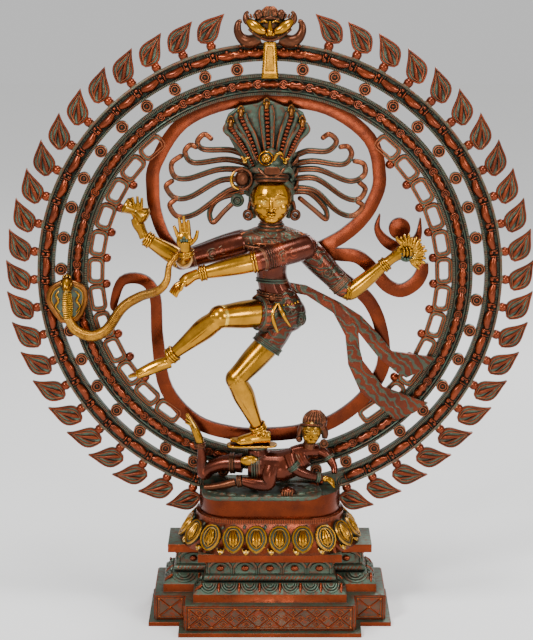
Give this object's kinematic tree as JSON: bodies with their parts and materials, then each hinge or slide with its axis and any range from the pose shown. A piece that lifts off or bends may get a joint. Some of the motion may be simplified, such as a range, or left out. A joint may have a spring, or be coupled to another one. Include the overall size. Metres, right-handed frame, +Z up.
{
  "type": "dancing temple figure in a flame ring",
  "caption": "Brass dancing-lord temple figure in a flame ring with a syllable plate, on a lotus dais and a stepped plinth.",
  "frame": {"origin": "centre of the plinth's footprint, on the surface it stands on", "axes": "+Z up, the figure faces -Y, +X to the viewer's right from the front"},
  "size_m": [0.642, 0.176, 0.761],
  "materials": {
    "gold_brass": "polished",
    "red_lacquer": "satin",
    "green_patina": "matte",
    "steel": "brushed"
  },
  "bodies": {
    "root": {"plinth": "green_patina", "lotus_tier": "green_patina", "dais": "red_lacquer", "pedestal_studs": "steel", "pedestal_washers": "steel", "pedestal_nuts": "steel", "figure_stud": "steel", "figure_nut": "steel", "ring_screws": "steel", "outer_band": "red_lacquer", "inner_band": "red_lacquer", "band_spacers": "red_lacquer", "flames": "green_patina", "flame_beads": "red_lacquer", "lattice_loops": "green_patina", "lattice_beads": "red_lacquer", "crest_mask": "gold_brass", "crest_tongue": "gold_brass", "om_ribbon": "red_lacquer", "om_crescent": "red_lacquer", "om_dot": "red_lacquer", "om_pins": "red_lacquer", "torso": "red_lacquer", "hips": "red_lacquer", "belt": "gold_brass", "collar": "green_patina", "head": "gold_brass", "crown": "green_patina", "serpent_hood": "green_patina", "hair_right": "green_patina", "hair_left": "green_patina", "back_right_upper_arm": "red_lacquer", "back_right_forearm": "gold_brass", "back_right_hand": "gold_brass", "drum": "gold_brass", "front_right_upper_arm": "red_lacquer", "front_right_forearm": "gold_brass", "front_right_hand": "gold_brass", "front_left_upper_arm": "red_lacquer", "front_left_forearm": "gold_brass", "front_left_hand": "gold_brass", "back_left_upper_arm": "red_lacquer", "back_left_forearm": "gold_brass", "back_left_hand": "gold_brass", "hand_flame": "gold_brass", "cobra_body": "gold_brass", "cobra_hood": "gold_brass", "sash": "red_lacquer", "raised_thigh": "gold_brass", "raised_shin": "gold_brass", "raised_foot": "gold_brass", "standing_thigh": "gold_brass", "standing_shin": "gold_brass", "standing_foot": "gold_brass", "dwarf_body": "red_lacquer", "dwarf_head": "gold_brass", "dwarf_arms": "red_lacquer", "dwarf_legs": "red_lacquer"}
  },
  "joints": []
}
